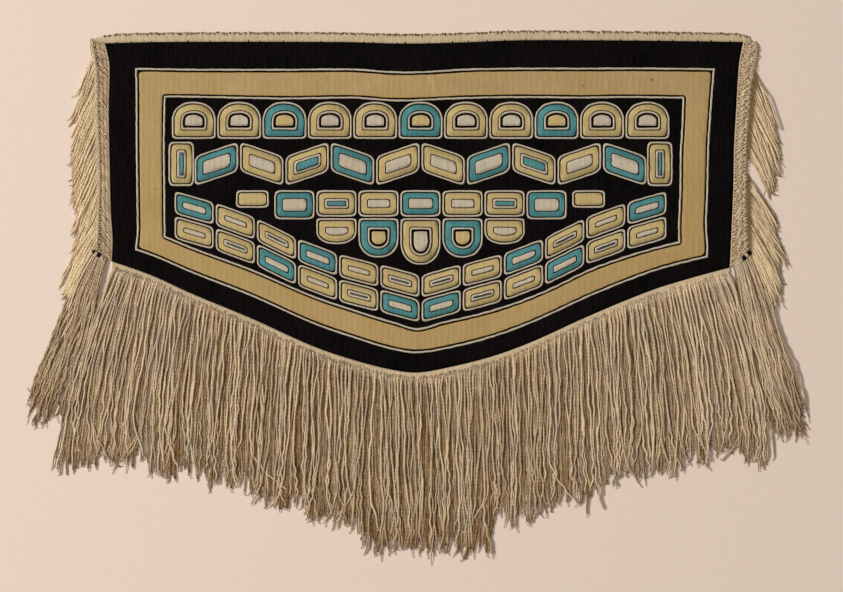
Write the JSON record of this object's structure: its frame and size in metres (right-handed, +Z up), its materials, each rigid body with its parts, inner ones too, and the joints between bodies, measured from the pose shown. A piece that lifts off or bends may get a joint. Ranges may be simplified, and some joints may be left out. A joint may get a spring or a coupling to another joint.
{
  "type": "fringed dancing blanket",
  "caption": "Five-sided twined wool dancing blanket, lying flat, with a dark border, yellow band, figured field, natural heading, braided sides, bound corner tassels and long fringe.",
  "frame": {"origin": "on the surface it lies on, under the middle of its outline", "axes": "+X to the right along the heading as seen from above, +Y from the fringe to the heading, +Z up out of the face"},
  "size_m": [1.758, 1.1918, 0.009],
  "materials": {
    "woven_wool": "twined wool cloth, matt, black ground with yellow, blue-green and white areas in one weave",
    "natural_wool": "undyed wool, braided or twined, matt",
    "fringe_yarn": "undyed two-ply wool and bark yarn, matt and a little hairy",
    "tie_yarn": "black and undyed wool yarn, wound, matt"
  },
  "bodies": {
    "root": {"woven_panel": "woven_wool", "heading_strip": "natural_wool", "footing_band": "natural_wool", "bottom_fringe": "fringe_yarn", "side_braid_left": "natural_wool", "side_braid_right": "natural_wool", "side_fringe_left": "fringe_yarn", "side_fringe_right": "fringe_yarn", "corner_tie_left": "tie_yarn", "corner_tie_right": "tie_yarn", "corner_tassel_left": "fringe_yarn", "corner_tassel_right": "fringe_yarn"}
  },
  "joints": []
}
